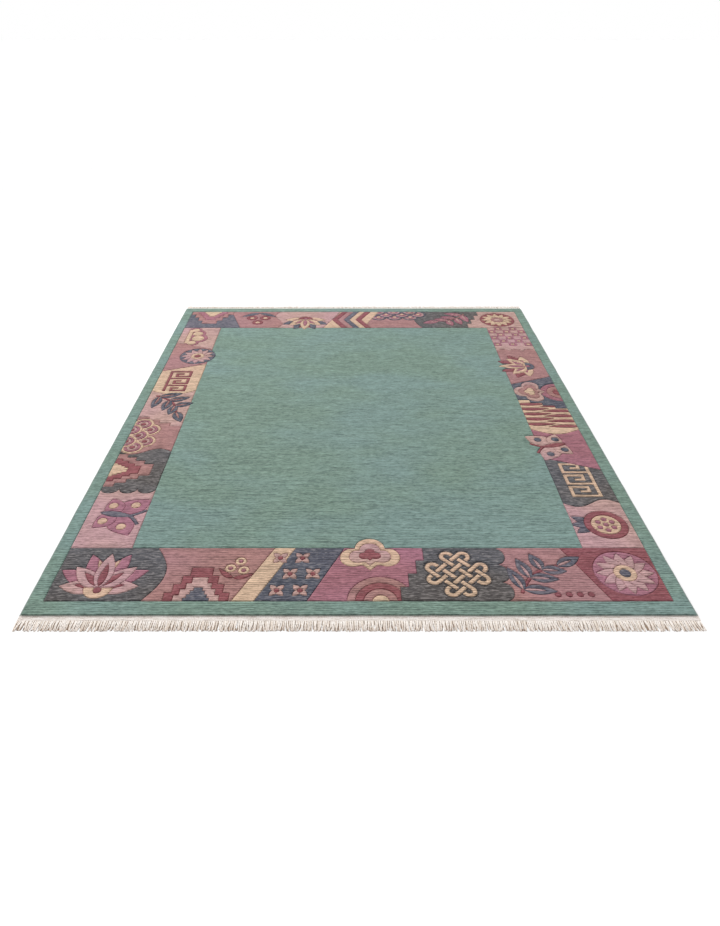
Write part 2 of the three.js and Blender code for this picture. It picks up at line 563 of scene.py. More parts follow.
def visible_plan(regions):
    """The plan's points, its triangles, and for each triangle the number of the region on top."""
    points, edges = [], []
    for region in regions:
        first, count = len(points), len(region.outline)
        points += [Vector(p) for p in region.outline]
        edges += [(first + i, first + (i + 1) % count) for i in range(count)]
    points, edges, triangles, _, origins, _ = delaunay_2d_cdt(points, edges, [], 0, MERGE, True)
    walls = {tuple(sorted(edge)) for edge, origin in zip(edges, origins) if origin}
    beside = triangle_beside(triangles)
    boxes = [boxed(region.outline) for region in regions]
    top = {}
    for group in spread(triangles, beside, lambda side: tuple(sorted(side)) in walls):
        _, largest = max((area_of(points, triangles[t]), t) for t in group)
        x, y = sum((points[i] for i in triangles[largest]), Vector((0, 0))) / 3
        for r in range(len(regions) - 1, -1, -1):
            low_x, low_y, high_x, high_y = boxes[r]
            if low_x <= x <= high_x and low_y <= y <= high_y and inside(x, y, regions[r].outline):
                top.update(dict.fromkeys(group, r))
                break
    # A motif that reaches a hair past the rug's own outline is left out there
    triangles = [triangles[t] for t in sorted(top)]
    return points, triangles, triangle_beside(triangles), [top[t] for t in sorted(top)]


def give_away_slivers(regions, points, triangles, beside, top):
    """Gives every sliver of the plan to the region that shares most of its edge."""
    keys = [regions[r][:2] for r in top]
    groups = spread(triangles, beside, lambda s: keys[beside[s]] != keys[beside[s[::-1]]])
    areas = [sum(area_of(points, triangles[t]) for t in group) for group in groups]
    for area, group in sorted(zip(areas, groups)):
        own, shares = set(group), Counter()
        for t in group:
            for a, b in sides(triangles[t]):
                other = beside.get((b, a), t)
                if other not in own:
                    shares[top[other]] += (points[a] - points[b]).length
        if shares and (area <= LEAST_AREA or 2 * area / sum(shares.values()) <= LEAST_BREADTH):
            heir = max(shares, key=shares.get)
            for t in group:
                top[t] = heir


def plan_cuts(regions):
    """The points and cuts that the shears follow, where one region ends and another begins."""
    points, triangles, beside, top = visible_plan(regions)
    give_away_slivers(regions, points, triangles, beside, top)
    cuts = []
    for (a, b), t in beside.items():
        other = beside.get((b, a))
        if other is None:
            cuts.append(Cut(a, b, top[t], None))
        elif a < b and regions[top[t]][:2] != regions[top[other]][:2]:
            cuts.append(Cut(a, b, top[t], top[other]))
    return smooth_cuts(points, cuts)


def neighbours(cuts):
    """For each point, the points at the other ends of its cuts, with the numbers of the cuts."""
    around = {}
    for c, cut in enumerate(cuts):
        around.setdefault(cut.start, []).append((cut.end, c))
        around.setdefault(cut.end, []).append((cut.start, c))
    return around


def smooth_cuts(points, cuts):
    """The cuts again, in even steps, without the points left by lines that are hidden now."""
    around = neighbours(cuts)
    used = set()
    kept_points, numbers, kept_cuts = [], {}, []

    def number(i):
        """The new number of a point, which is kept from now on."""
        if i not in numbers:
            numbers[i] = len(kept_points)
            kept_points.append(points[i])
        return numbers[i]

    def walk(here, c):
        """The points from here along cut c and on, up to the next junction."""
        chain = [here]
        while c not in used:
            used.add(c)
            here = cuts[c].end if cuts[c].start == here else cuts[c].start
            chain.append(here)
            if len(around[here]) != 2 or here == chain[0]:
                break
            c = next(n for _, n in around[here] if n != c)
        return chain

    def thinned(chain):
        """A chain with its ends and corners, and no two points closer than a step."""
        kept = [chain[0]]
        for before, i, after in zip(chain, chain[1:], chain[2:]):
            turn = (points[i] - points[before]).angle(points[after] - points[i], 0)
            step = (points[i] - points[kept[-1]]).length
            if turn > CORNER_TURN or step >= LEAST_STEP:
                if step < LEAST_STEP / 2 and len(kept) > 1:
                    kept.pop()
                kept.append(i)
        if len(kept) > 1 and (points[kept[-1]] - points[chain[-1]]).length < LEAST_STEP / 2:
            kept.pop()
        return kept + [chain[-1]]

    junctions = [i for i, spokes in around.items() if len(spokes) != 2]
    for first in junctions + [cut.start for cut in cuts]:
        for _, c in around[first]:
            if c in used:
                continue
            left, right = cuts[c][2:] if cuts[c].start == first else cuts[c][:1:-1]
            chain = thinned(walk(first, c))
            for a, b in zip(chain, chain[1:]):
                pieces = max(1, math.ceil((points[a] - points[b]).length / EDGE_STEP))
                line = [number(a)]
                for i in range(1, pieces):
                    line.append(len(kept_points))
                    kept_points.append(points[a].lerp(points[b], i / pieces))
                line.append(number(b))
                kept_cuts += [Cut(i, j, left, right) for i, j in zip(line, line[1:]) if i != j]
    return kept_points, kept_cuts


def cut_finder(points, cuts):
    """A function that gives a point's distance from the nearest cut."""
    samples = []
    for cut in cuts:
        a, b = points[cut.start], points[cut.end]
        count = max(1, math.ceil((b - a).length / SAMPLE_STEP))
        samples += [(a.lerp(b, (i + 0.5) / count), a, b) for i in range(count)]
    tree = KDTree(len(samples))
    for i, (place, _, _) in enumerate(samples):
        tree.insert(place.to_3d(), i)
    tree.balance()

    def distance(point, reach):
        """The distance, or the reach if the cut is further away than that."""
        best = reach
        if tree.find(point.to_3d())[2] <= reach + SAMPLE_STEP:
            for _, i, _ in tree.find_n(point.to_3d(), 4):
                _, a, b = samples[i]
                along = b - a
                share = min(1.0, max(0.0, (point - a).dot(along) / along.length_squared))
                best = min(best, (point - a - along * share).length)
        return best

    return distance


def on_carpet(place):
    return abs(place.x) < CARPET_HALF_WIDTH and abs(place.y) < RUG_HALF_LENGTH


def shoulder_lines(points, cuts, distance, reach):
    """Lines along both sides of every cut, left out where they would run into another cut."""
    around = neighbours(cuts)
    left, right, places = {}, {}, []
    for here, spokes in around.items():
        turned = sorted(
            (math.atan2(points[there].y - points[here].y, points[there].x - points[here].x), there)
            for there, _ in spokes
        )
        for (angle, there), (next_angle, next_there) in zip(turned, turned[1:] + turned[:1]):
            opening = (next_angle - angle) % math.tau or math.tau
            length = reach / max(math.sin(opening / 2), 0.5)
            middle = angle + opening / 2
            place = points[here] + Vector((math.cos(middle), math.sin(middle))) * length
            if on_carpet(place) and distance(place, reach) > FREE_SHARE * reach:
                left[here, there] = right[here, next_there] = len(places)
                places.append(place)
    return places, [
        (left[here, there], right[there, here])
        for here, spokes in around.items() for there, _ in spokes
        if (here, there) in left and (there, here) in right
    ]


def pile_points(distance, clear):
    """Points of the open pile in staggered rows, a little uneven, clear of the cuts."""
    rng, places = random.Random(11), []
    for row in range(int(2 * RUG_HALF_LENGTH / ROW_STEP)):
        for column in range(int(2 * CARPET_HALF_WIDTH / COLUMN_STEP)):
            x = (column + 0.25 + 0.5 * (row % 2)) * COLUMN_STEP + rng.uniform(-COLUMN_PLAY, COLUMN_PLAY)
            y = (row + 0.5) * ROW_STEP + rng.uniform(-ROW_PLAY, ROW_PLAY)
            place = Vector((x - CARPET_HALF_WIDTH, y - RUG_HALF_LENGTH))
            if on_carpet(place) and distance(place, clear) >= clear:
                places.append(place)
    return places


def meshed(places, cuts, lines=()):
    """A mesh between the cuts: points, triangles, the region of each, and the sides on a cut."""
    lines = [(cut.start, cut.end) for cut in cuts] + list(lines)
    points, edges, triangles, _, origins, _ = delaunay_2d_cdt(places, lines, [], 0, MERGE, True)
    left_of = {}
    for (a, b), origin in zip(edges, origins):
        cut = next((cuts[o] for o in origin if o < len(cuts)), None)
        if cut:
            same_way = (points[b] - points[a]).dot(places[cut.end] - places[cut.start]) > 0
            left_of[a, b], left_of[b, a] = cut[2:] if same_way else cut[:1:-1]
    numbers = [None] * len(triangles)
    for group in spread(triangles, triangle_beside(triangles), left_of.__contains__):
        number = next(left_of[s] for t in group for s in sides(triangles[t]) if s in left_of)
        for t in group:
            numbers[t] = number
    return points, triangles, numbers, left_of


def relief(point):
    """How far the pile stands above or below its even height."""
    swell, row = (
        height * noise.noise(Vector((point.x / across, point.y / up, layer)))
        for (across, up, height), layer in ((SWELLS, 3.1), (PROUD_ROWS, 7.7))
    )
    return swell + row


def wandering(x, y):
    """A place on the rug, moved the little that a loom and a finisher are out."""
    u, v = x / DRIFT_LENGTH, y / DRIFT_LENGTH
    drift_x, drift_y = (DRIFT * noise.noise(Vector((u, v, layer))) for layer in (1.3, 8.6))
    return x + drift_x, y + drift_y


def carve(regions, sizes):
    """The carved pile: its points in space, its triangles, their regions, and the sides on a cut."""
    places, cuts = plan_cuts(regions)
    distance = cut_finder(places, cuts)
    width, depth = sizes.carve_width / MM, sizes.carve_depth / MM
    lines = []
    for share in SHOULDERS:
        corners, edges = shoulder_lines(places, cuts, distance, share * width)
        lines += [(a + len(places), b + len(places)) for a, b in edges]
        places += corners
    places += pile_points(distance, width + CLEAR_OF_CUTS)
    points, *plan = meshed(places, cuts, lines)
    spots = []
    for point in points:
        near = 1 - distance(point, width) / width
        fall = depth * (1 - math.sqrt(1 - near * near))
        edge = min(CARPET_HALF_WIDTH - abs(point.x), RUG_HALF_LENGTH - abs(point.y))
        if edge < width * (1 - near) + 0.1:
            fall = RIM_SHARE * depth * near
        x, y = wandering(*point)
        spots.append((x * MM, y * MM, (PILE_TOP - fall + relief(point)) * MM))
    return spots, *plan


# Mesh helpers

def placed(name, data):
    """An object in the scene."""
    thing = bpy.data.objects.new(name, data)
    bpy.context.scene.collection.objects.link(thing)
    return thing


def mesh_of(bm, name):
    """A bmesh's shape as a mesh."""
    mesh = bpy.data.meshes.new(name)
    bm.to_mesh(mesh)
    bm.free()
    return mesh


def piece_object(name, bm, materials, slot, *nodes, smooth=True):
    """A finished piece: it rides on the rug, stands in for its CAD nodes and hides them, and takes the
    materials it is given.
    """
    if bm.calc_volume(signed=True) < 0:
        bmesh.ops.reverse_faces(bm, faces=bm.faces[:])
    mesh = mesh_of(bm, name)
    if smooth:
        mesh.shade_smooth()
    for material in materials:
        mesh.materials.append(material)
    piece = placed(name, mesh)
    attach(piece, "root")
    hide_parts(*nodes)
    return piece


def dyed_sheet(places, triangles, numbers, regions):
    """A bmesh of the triangles that lie in a region, each in its region's dye."""
    mesh = bpy.data.meshes.new("sheet")
    mesh.from_pydata(places, [], triangles)
    bm = bmesh.new()
    bm.from_mesh(mesh)
    bpy.data.meshes.remove(mesh)
    for face, r in zip(bm.faces[:], numbers):
        if r is None:
            bm.faces.remove(face)
        else:
            face.material_index = list(DYES).index(regions[r].dye)
    return bm


def pile_skin(spots, triangles, numbers, cut_sides, regions, piece):
    """The upper face of one piece of the pile, with a dye for each face and sharp cuts."""
    number, faces, kept = {}, [], []
    for triangle, r in zip(triangles, numbers):
        if r is not None and regions[r].piece == piece:
            faces.append([number.setdefault(i, len(number)) for i in triangle])
            kept.append(r)
    bm = dyed_sheet([spots[i] for i in number], faces, kept, regions)
    bm.verts.ensure_lookup_table()
    for a, b in cut_sides:
        if a in number and b in number:
            edge = bm.edges.get((bm.verts[number[a]], bm.verts[number[b]]))
            if edge:
                edge.smooth = False
    return bm


def close_below(bm, height, ring=False):
    """Takes the open edge of a skin straight down to a height, and closes it there."""
    rim = [edge for edge in bm.edges if edge.is_boundary]
    made = bmesh.ops.extrude_edge_only(bm, edges=rim)["geom"]
    foot = [e for e in made if isinstance(e, bmesh.types.BMEdge) and e.is_boundary]
    for vert in {vert for edge in foot for vert in edge.verts}:
        vert.co.z = height
    if ring:
        bmesh.ops.triangle_fill(bm, edges=foot, use_beauty=False, use_dissolve=False, normal=(0, 0, -1))
    else:
        under = bmesh.ops.edgeloop_fill(bm, edges=foot)["faces"]
        bmesh.ops.triangulate(bm, faces=under)
    bmesh.ops.recalc_face_normals(bm, faces=bm.faces[:])
    for edge in rim:
        edge.smooth = False


def grown(bm, template, place):
    """Adds a copy of a template mesh, each of its points taken to place(point)."""
    count = len(bm.verts)
    bm.from_mesh(template)
    bm.verts.ensure_lookup_table()
    for vert in bm.verts[count:]:
        vert.co = place(vert.co)


def unit_tube(rings, ring_sides):
    """A closed tube of radius 1 from z = 0 to z = 1, its ends capped."""
    bm = bmesh.new()
    bmesh.ops.create_grid(bm, x_segments=ring_sides, y_segments=rings, size=0.5)
    for vert in bm.verts:
        turn = math.tau * (vert.co.x + 0.5)
        vert.co = (math.cos(turn), math.sin(turn), vert.co.y + 0.5)
    bmesh.ops.remove_doubles(bm, verts=bm.verts[:], dist=1e-5)
    bmesh.ops.holes_fill(bm, edges=[edge for edge in bm.edges if edge.is_boundary])
    bmesh.ops.recalc_face_normals(bm, faces=bm.faces[:])
    return mesh_of(bm, "tube")


# Materials

def linear(hex_colour):
    """An sRGB hex colour as linear red, green and blue."""
    channels = [int(hex_colour[i:i + 2], 16) / 255 for i in (1, 3, 5)]
    return [c / 12.92 if c <= 0.04045 else ((c + 0.055) / 1.055) ** 2.4 for c in channels]


def opaque(colour, light=1.0):
    """A grey, a hex colour or linear channels as a socket takes it, made lighter or darker."""
    if isinstance(colour, str):
        colour = linear(colour)
    elif isinstance(colour, float):
        colour = [colour] * 3
    return [min(1.0, light * c) for c in colour] + [1.0]


def add(tree, kind, inputs=None, stops=(), out=0, **settings):
    """Adds a node and gives one of its outputs. An input is a value or another node's output."""
    node = tree.nodes.new("ShaderNode" + kind)
    for name, value in settings.items():
        setattr(node, name, value)
    for name, value in (inputs or {}).items():
        if isinstance(value, bpy.types.NodeSocket):
            tree.links.new(value, node.inputs[name])
        else:
            node.inputs[name].default_value = value
    if stops:
        points = node.color_ramp.elements
        while len(points) < len(stops):
            points.new(1.0)
        for point, (position, colour) in zip(points, stops):
            point.position = position
            point.color = opaque(colour)
    return node.outputs[out] if node.outputs else None


def new_material(name):
    """A material with an empty tree, and the output that gives an object's own coordinates."""
    material = bpy.data.materials.new(name)
    material.use_nodes = True
    tree = material.node_tree
    tree.nodes.clear()
    return material, tree, add(tree, "TexCoord", out="Object")


def marks(tree, place, length, breadth, seed, detail=2.0, waver=0.0):
    """Noise in marks of a length along the weft and a breadth along the warp, in millimetres."""
    spot = add(tree, "Mapping", {
        "Vector": place,
        "Location": (seed, seed, seed),
        "Scale": (1 / (length * MM), 1 / (breadth * MM), 0),
    })
    return add(tree, "TexNoise", {
        "Vector": spot, "Scale": 1.0, "Detail": detail, "Roughness": 0.55,
        "Distortion": waver,
    })


def weighed(tree, *parts):
    """The sum of several values, each with its weight."""
    total = 0.0
    for value, weight in parts:
        total = add(tree, "Math", {0: value, 1: weight, 2: total}, operation="MULTIPLY_ADD")
    return total


# Settings of a node that mixes colours, and of one that darkens a colour by another
MIX = {"data_type": "RGBA", "out": 2}
MULTIPLY = {"blend_type": "MULTIPLY", **MIX}


def dyed_yarn(tree, clouds, colour, batch, light):
    """Yarn in two batches of a dye, the second in wide clouds, darkened by a grey of painted light and shade
    for how it lies.
    """
    dyed = add(tree, "ValToRGB", {0: clouds}, ((0.4, colour), (0.62, batch)))
    return add(tree, "Mix", {0: 1.0, 6: dyed, 7: light}, **MULTIPLY)


def finish(tree, colour, height, depth, rough, sheen, sheen_rough, tint=(1, 1, 1, 1)):
    """The shader of a fibre: matt, with a soft sheen and a relief of a depth in millimetres."""
    bump = add(tree, "Bump", {"Height": height, "Strength": 1.0, "Distance": depth * MM})
    shader = add(tree, "BsdfPrincipled", {
        "Base Color": colour, "Normal": bump, "IOR": 1.55, "Specular IOR Level": 0.25,
        "Roughness": rough, "Sheen Weight": sheen, "Sheen Roughness": sheen_rough, "Sheen Tint": tint,
    })
    add(tree, "OutputMaterial", {"Surface": shader})


def cut_pile_wool(dye, colour, batch):
    """Hand-spun Tibetan wool, pot-dyed, knotted and cut: matt, soft and streaked along the weft."""
    material, tree, place = new_material("cut_pile_wool_" + dye)
    # Yarn of one batch lies in uneven bars along the weft, which the eye takes for abrash
    bars = marks(tree, place, 100, 16, 1.7, 3.0, 0.4)
    # Short lengths of a row whose tufts lean the same way
    dashes = marks(tree, place, 32, 8.5, 4.2, 3.0, 0.7)
    # Single rows of tufts that show as fine threads
    threads = marks(tree, place, 24, 5.2, 9.1, 2.0, 0.5)
    # Loose fibres on the clipped top, which only show from close by
    fibres = marks(tree, place, 6.5, 3.4, 12.4, 3.0, 0.8)
    # Cut tufts, each lighter or darker by how its fibres lie. Real ones are 4 mm, and these 8 mm, to show.
    tuft_place = add(tree, "Mapping", {"Vector": place, "Scale": (1 / (9 * MM), 1 / (6.5 * MM), 0)})
    tufts = add(tree, "TexVoronoi", {"Vector": tuft_place, "Scale": 1.0, "Randomness": 0.85},
                out=1, voronoi_dimensions="2D")
    # Rows of knots, straight across the rug. A real row is 4 mm deep, and these are 10 mm, to show.
    row_place = add(tree, "Mapping", {"Vector": place, "Scale": (0.28, 1, 0)})
    rows = add(tree, "TexWave", {
        "Vector": row_place, "Scale": 0.314 / 10 / MM, "Distortion": 3.6, "Detail": 2.0,
    }, out=1, bands_direction="Y")
    # A second dye batch shows as wide clouds of a neighbouring hue
    clouds = marks(tree, place, 640, 400, 6.4)
    shade = weighed(tree, (bars, 0.25), (dashes, 0.28), (threads, 0.26), (tufts, 0.05), (rows, 0.14),
                    (fibres, 0.16), (clouds, 0.10))
    # The grey is partly painted shade, the dark dashes between the rows of tufts, and partly the wool's own
    # uneven tone
    light = add(tree, "ValToRGB", {0: shade}, ((0.505, 0.35), (0.72, 1.0)))
    yarn = dyed_yarn(tree, clouds, colour, batch, light)
    # Painted highlight: pale grey glints of sheen mixed into the colour where the dashes and threads run
    # lightest, which show most in the dark dyes
    painted_glints = weighed(tree, (dashes, 0.4), (threads, 0.6))
    share = max(0.04, 0.39 - max(colour))
    painted_glints = add(tree, "ValToRGB", {0: painted_glints}, ((0.5, 0.0), (0.62, share)))
    yarn = add(tree, "Mix", {0: painted_glints, 6: yarn, 7: opaque((0.5, 0.46, 0.44))}, **MIX)
    finish(tree, yarn, shade, 3.0, 0.95, 0.25, 0.6, opaque(colour, 1.6))
    return material


def knotted_back_wool(dye, colour, batch):
    """The rug's back: the same wool in rows of small knots, drawn tight on its cotton warps."""
    material, tree, place = new_material("knotted_back_wool_" + dye)
    bars = marks(tree, place, 170, 17, 1.7, 3.0)
    # Each knot shows as a small bead. Real knots are 4 mm apart, and these are 9 mm.
    beads = [
        add(tree, "TexWave", {"Vector": place, "Scale": 0.31 / 9 / MM, "Distortion": 0.6},
            out=1, bands_direction=axis)
        for axis in "XY"
    ]
    knots = add(tree, "Math", {0: beads[0], 1: beads[1]}, operation="MULTIPLY")
    shade = weighed(tree, (bars, 0.6), (knots, 0.4))
    # The grey is partly painted shade in the pits between the knots' beads and partly the wool's own uneven
    # tone
    light = add(tree, "ValToRGB", {0: shade}, ((0.2, 0.42), (0.8, 0.95)))
    yarn = dyed_yarn(tree, marks(tree, place, 640, 400, 6.4), colour, batch, light)
    # A little of the undyed cotton shows in the pits between the knots
    cotton = add(tree, "ValToRGB", {0: knots}, ((0.0, 0.42), (0.12, 0.0)))
    cloth = add(tree, "Mix", {0: cotton, 6: yarn, 7: opaque("#b9ae9c")}, **MIX)
    finish(tree, cloth, shade, 1.6, 0.92, 0.12, 0.6)
    return material


def overcast_wool():
    """Two-ply wool wrapped round the edge warps: matt, a little darker in each furrow."""
    material, tree, place = new_material("overcast_two_ply_wool")
    bars = marks(tree, place, 14, 60, 2.3, 3.0)
    wraps = marks(tree, place, 30, 3.6, 5.9)
    shade = weighed(tree, (bars, 0.5), (wraps, 0.5))
    yarn = add(tree, "ValToRGB", {0: shade},
               ((0.3, "#66736d"), (0.52, "#7f8c85"), (0.7, "#95a199")))
    finish(tree, yarn, shade, 0.8, 0.94, 0.25, 0.6)
    return material


def kilim_cotton():
    """Thick unbleached cotton weft, beaten close: pale, matt, with soft grey furrows."""
    material, tree, place = new_material("woven_cotton_weft")
    slubs = marks(tree, place, 38, 4.4, 3.7, 3.0)
    beats = marks(tree, place, 5, 5, 8.8)
    shade = weighed(tree, (slubs, 0.6), (beats, 0.4))
    yarn = add(tree, "ValToRGB", {0: shade},
               ((0.34, "#bfb2a8"), (0.5, "#e6ddd6"), (0.66, "#f6f1ed")))
    finish(tree, yarn, shade, 0.9, 0.9, 0.15, 0.5)
    return material


def warp_cotton(name, pale, deep):
    """Plied cotton warp ends: one pale colour near the root, painted light where the weft packs them close
    with no shade between them, and browner towards their tips, partly soiling and partly painted shade.
    """
    material, tree, place = new_material(name)
    plies = marks(tree, place, 3.2, 5.5, 1.1)
    fibres = marks(tree, place, 1.6, 18, 7.3, 3.0)
    shade = weighed(tree, (plies, 0.6), (fibres, 0.4))
    reach = add(tree, "Math", {0: add(tree, "SeparateXYZ", {0: place}, out=1)}, operation="ABSOLUTE")
    # Near the root every bunch takes one pale colour, painted light where the bunches lie packed together;
    # further out each takes its own colour. Towards the tips they turn browner, partly soiling and partly
    # painted shade between the strands
    spread_out, tip_browning = (
        add(tree, "MapRange", {0: reach, 1: start * MM, 2: end * MM, 4: most})
        for start, end, most in ((FRINGE_ROOT - 3, FRINGE_ROOT + 4, 1.0), (FRINGE_ROOT + 8, FRINGE_TIP, 0.45))
    )
    packed_lit = add(tree, "ValToRGB", {0: shade}, ((0.3, "#d3c7bd"), (0.6, "#ece3db")))
    loose = add(tree, "ValToRGB", {0: shade}, ((0.3, deep), (0.6, pale)))
    unbrowned = add(tree, "Mix", {0: spread_out, 6: packed_lit, 7: loose}, **MIX)
    # The browner colour of the tips: partly soiling, partly painted shade
    soiled_and_shaded = add(tree, "Mix", {0: 1.0, 6: unbrowned, 7: opaque("#d3c1b4")}, **MULTIPLY)
    yarn = add(tree, "Mix", {0: tip_browning, 6: unbrowned, 7: soiled_and_shaded}, **MIX)
    finish(tree, yarn, shade, 0.7, 0.85, 0.2, 0.4)
    return material


def plain_floor():
    """A studio floor of white vinyl: smooth, matt and even."""
    material, tree, place = new_material("white_studio_vinyl")
    grain = add(tree, "TexNoise", {"Vector": place, "Scale": 9.0, "Detail": 2.0})
    shade = add(tree, "ValToRGB", {0: grain}, ((0.3, 0.965), (0.7, 0.975)))
    shader = add(tree, "BsdfPrincipled", {"Base Color": shade, "Roughness": 0.8, "Specular IOR Level": 0.0})
    add(tree, "OutputMaterial", {"Surface": shader})
    return material


# Settings

# Each dye, and the hue that a second batch of it comes out in
DYES = {
    "sea_green": ("#819a8d", "#7e9792"),
    "rose": ("#b0837e", "#ac8083"),
    "pink": ("#c8a49b", "#c39ba0"),
    "plum": ("#ab737e", "#ac7687"),
    "wine": ("#98595d", "#90545c"),
    "cream": ("#e0bfa3", "#d8b49d"),
    "slate": ("#585b68", "#676370"),
    "charcoal": ("#5f5a59", "#5c5c62"),
}


def dye_setting(dye):
    return FloatVectorProperty(
        name=dye.replace("_", " ").capitalize(), description="Colour of this dye in soft light",
        subtype="COLOR", size=3, min=0, max=1, default=linear(DYES[dye][0]),
    )


def length_setting(label, hint, default, least, most):
    return FloatProperty(name=label, description=hint, unit="LENGTH", default=default, min=least, max=most)


class RugDyes(PropertyGroup):
    """The dyes of the wool"""
    __annotations__ = {dye: dye_setting(dye) for dye in DYES}


class RugSizes(PropertyGroup):
    """Sizes that a finisher would change"""
    carve_width: length_setting("Carving width", "How far each side of a cut slopes", 0.0052, 0.002, 0.012)
    carve_depth: length_setting("Carving depth", "How deep the shears go", 0.006, 0.001, 0.009)
    wrap_pitch: length_setting("Wrap pitch", "From one turn of the overcasting wool to the next",
                               0.006, 0.002, 0.01)
    warp_pitch: length_setting("Warp pitch", "From one warp to the next in the kilim", 0.005, 0.002, 0.01)
    strand_count: IntProperty(
        name="Warp ends", description="Bunches of loose ends in each fringe", default=380,
        min=50, max=420,
    )
    strand_radius: length_setting("Warp end radius", "Half the width of a bunch of loose ends",
                                  0.0028, 0.0005, 0.005)


def in_each_dye(finished):
    """One kind of finished wool in every dye."""
    dyes = bpy.context.scene.rug_dyes
    return [finished(dye, getattr(dyes, dye), linear(batch)) for dye, (_, batch) in DYES.items()]


# Operators

PILE_PIECES = {
    "field": "pile_field",
    "band": "pile_plain_band",
    "near": "pile_border_near",
    "right": "pile_border_right",
    "far": "pile_border_far",
    "left": "pile_border_left",
}

ON_THE_FOUNDATION = (
    *PILE_PIECES.values(), "overcast_left", "overcast_right",
    "kilim_weave_near", "kilim_weave_far", "warp_ends_near", "warp_ends_far",
)


class RUG_OT_stage(Operator):
    """Add the floor, the soft light and the camera"""
    bl_idname = "rug.stage"
    bl_label = "Stage"

    def execute(self, context):
        bm = bmesh.new()
        bmesh.ops.create_grid(bm, x_segments=8, y_segments=8, size=60)
        floor = placed("floor", mesh_of(bm, "floor"))
        floor.data.materials.append(plain_floor())

        # A white room: as bright as the floor at its foot, softer overhead
        world = bpy.data.worlds.new("white_room")
        world.use_nodes = True
        tree = world.node_tree
        height = add(tree, "SeparateXYZ", {0: add(tree, "TexCoord", out="Generated")}, out=2)
        white = add(tree, "ValToRGB", {0: height}, ((0.38, 1.0), (0.65, 0.42)))
        tree.links.new(white, tree.nodes["Background"].inputs["Color"])
        context.scene.world = world

        # A wide soft key from beyond the far end, which lights the cuts' near banks
        key = placed("key", bpy.data.lights.new("key", "SUN"))
        key.data.energy = 1.72
        key.data.angle = math.radians(25)
        key.rotation_euler = (math.radians(-33), 0, math.radians(20))

        # A soft box above the far left corner, which falls off towards the near right one
        box = placed("soft_box", bpy.data.lights.new("soft_box", "AREA"))
        box.data.shape = "DISK"
        box.data.size = 2.4
        box.data.energy = 66
        box.location = (-3.0, 2.3, 3.3)
        box.rotation_euler = (-box.location).to_track_quat("-Z", "Y").to_euler()
        box.visible_camera = False

        camera = placed("camera", bpy.data.cameras.new("camera"))
        camera.location = (-0.0373, -3.154, 1.8326)
        camera.rotation_euler = (math.radians(90 - 34.68), 0, 0)
        camera.data.sensor_width = 36
        camera.data.lens = 25.354
        camera.data.shift_x = 0.0124
        camera.data.clip_end = 200
        context.scene.camera = camera
        context.scene.view_settings.view_transform = "Standard"
        return {"FINISHED"}


class RUG_OT_pile(Operator):
    """Knot the pile from its plan and carve it along every outline"""
    bl_idname = "rug.pile"
    bl_label = "Carved pile"

    def execute(self, context):
        materials = in_each_dye(cut_pile_wool)
        regions = rug_regions()
        carved = carve(regions, context.scene.rug_sizes)
        for piece, name in PILE_PIECES.items():
            bm = pile_skin(*carved, regions, piece)
            close_below(bm, FOUNDATION_THICK * MM, ring=piece == "band")
            skin = piece_object(name, bm, materials, "wool_pile", "pile_carpet")
            # The clipped top stays flat up to each cut's bank
            flat = skin.modifiers.new("clipped_flat", "WEIGHTED_NORMAL")
            flat.keep_sharp = True
            flat.weight = 60
        return {"FINISHED"}


class RUG_OT_foundation(Operator):
    """Weave the cotton foundation, its back showing the plan in knots"""
    bl_idname = "rug.foundation"
    bl_label = "Foundation"

    def execute(self, context):
        regions = rug_regions()
        points, triangles, numbers, _ = meshed(*plan_cuts(regions))
        share_x, share_y = FOUNDATION_SHARES
        spots = [(x * MM * share_x, y * MM * share_y, 0) for x, y in (wandering(*p) for p in points)]
        bm = dyed_sheet(spots, triangles, numbers, regions)
        bmesh.ops.dissolve_limit(bm, angle_limit=0.01, verts=bm.verts[:], edges=bm.edges[:],
                                 delimit={"MATERIAL"})
        bmesh.ops.recalc_face_normals(bm, faces=bm.faces[:])
        for item in bmesh.ops.extrude_face_region(bm, geom=bm.faces[:])["geom"]:
            if isinstance(item, bmesh.types.BMVert):
                item.co.z = (FOUNDATION_THICK - CLEARANCE) * MM
        bmesh.ops.triangulate(bm, faces=[face for face in bm.faces if len(face.verts) > 4])
        bmesh.ops.recalc_face_normals(bm, faces=bm.faces[:])
        materials = in_each_dye(knotted_back_wool)
        sheet = piece_object("foundation", bm, materials, "wool_pile", "pile_carpet", smooth=False)
        [n for n in ON_THE_FOUNDATION if n in bpy.data.objects]
        return {"FINISHED"}


class RUG_OT_overcasting(Operator):
    """Overcast both long sides with wool"""
    bl_idname = "rug.overcasting"
    bl_label = "Overcast sides"

    def execute(self, context):
        wrap = context.scene.rug_sizes.wrap_pitch / MM
        wool = overcast_wool()
        for hand, side in (("left", -1), ("right", 1)):
            node = "selvedge_" + hand
            low, high = node_box(node)
            middle = (low + high) / 2
            half, rise = (high.x - low.x) / 2, high.z / 2

            def wound(point):
                """A point of the cord: a flattened round, with a ridge for each turn of wool."""
                furrow = 1.3
                y = low.y + point.z * (high.y - low.y)
                turn = math.atan2(point.y, point.x)
                ridge = furrow * abs(math.sin(math.pi * y / wrap + turn / 2)) - furrow
                slack = 1.1 * noise.noise(Vector((side * 4, y / 120, 0)))
                x = middle.x + (half + ridge) * math.cos(turn)
                z = rise + (rise + ridge) * math.sin(turn)
                x, y = wandering(x + slack * 0.4, y)
                return Vector((x, y, max(z, 0.15))) * MM

            bm = bmesh.new()
            grown(bm, unit_tube(4 * round((high.y - low.y) / wrap), 8), wound)
            piece_object("overcast_" + hand, bm, [wool], "overcast_wool", node)
        return {"FINISHED"}


